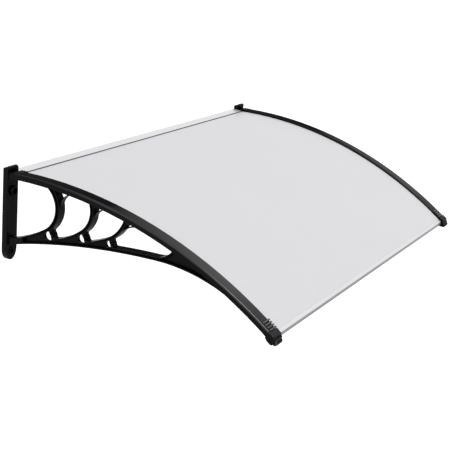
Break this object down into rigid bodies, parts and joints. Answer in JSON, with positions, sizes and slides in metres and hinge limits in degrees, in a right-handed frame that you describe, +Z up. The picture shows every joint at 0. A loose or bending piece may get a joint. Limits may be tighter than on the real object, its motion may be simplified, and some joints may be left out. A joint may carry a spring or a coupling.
{
  "type": "door canopy",
  "caption": "Bowed opal sheet canopy held in scrolled black wall brackets, with aluminium edge profiles and front end caps.",
  "frame": {"origin": "Centre of the back face of the wall seal, on the wall plane", "axes": "+X along the canopy's width, +Y into the wall, so the canopy reaches out towards -Y, +Z up"},
  "size_m": [1.254, 0.7645, 0.2778],
  "materials": {
    "black_plastic": "satin, moulded",
    "opal_sheet": "opal, satin",
    "aluminium": "satin anodised",
    "seal_foam": "matt foam",
    "gasket_rubber": "matt",
    "screw_steel": "zinc plated"
  },
  "bodies": {
    "root": {"bracket_left": "black_plastic", "bracket_right": "black_plastic", "front_cap_left": "black_plastic", "front_cap_right": "black_plastic", "roof_sheet": "opal_sheet", "rear_profile": "aluminium", "front_profile": "aluminium", "wall_seal": "seal_foam", "rear_gasket": "gasket_rubber", "rail_screw_rear_left": "screw_steel", "rail_screw_middle_left": "screw_steel", "rail_screw_front_left": "screw_steel", "rear_profile_screw_left": "screw_steel", "front_cap_screw_left": "screw_steel", "rail_screw_rear_right": "screw_steel", "rail_screw_middle_right": "screw_steel", "rail_screw_front_right": "screw_steel", "rear_profile_screw_right": "screw_steel", "front_cap_screw_right": "screw_steel"}
  },
  "joints": []
}
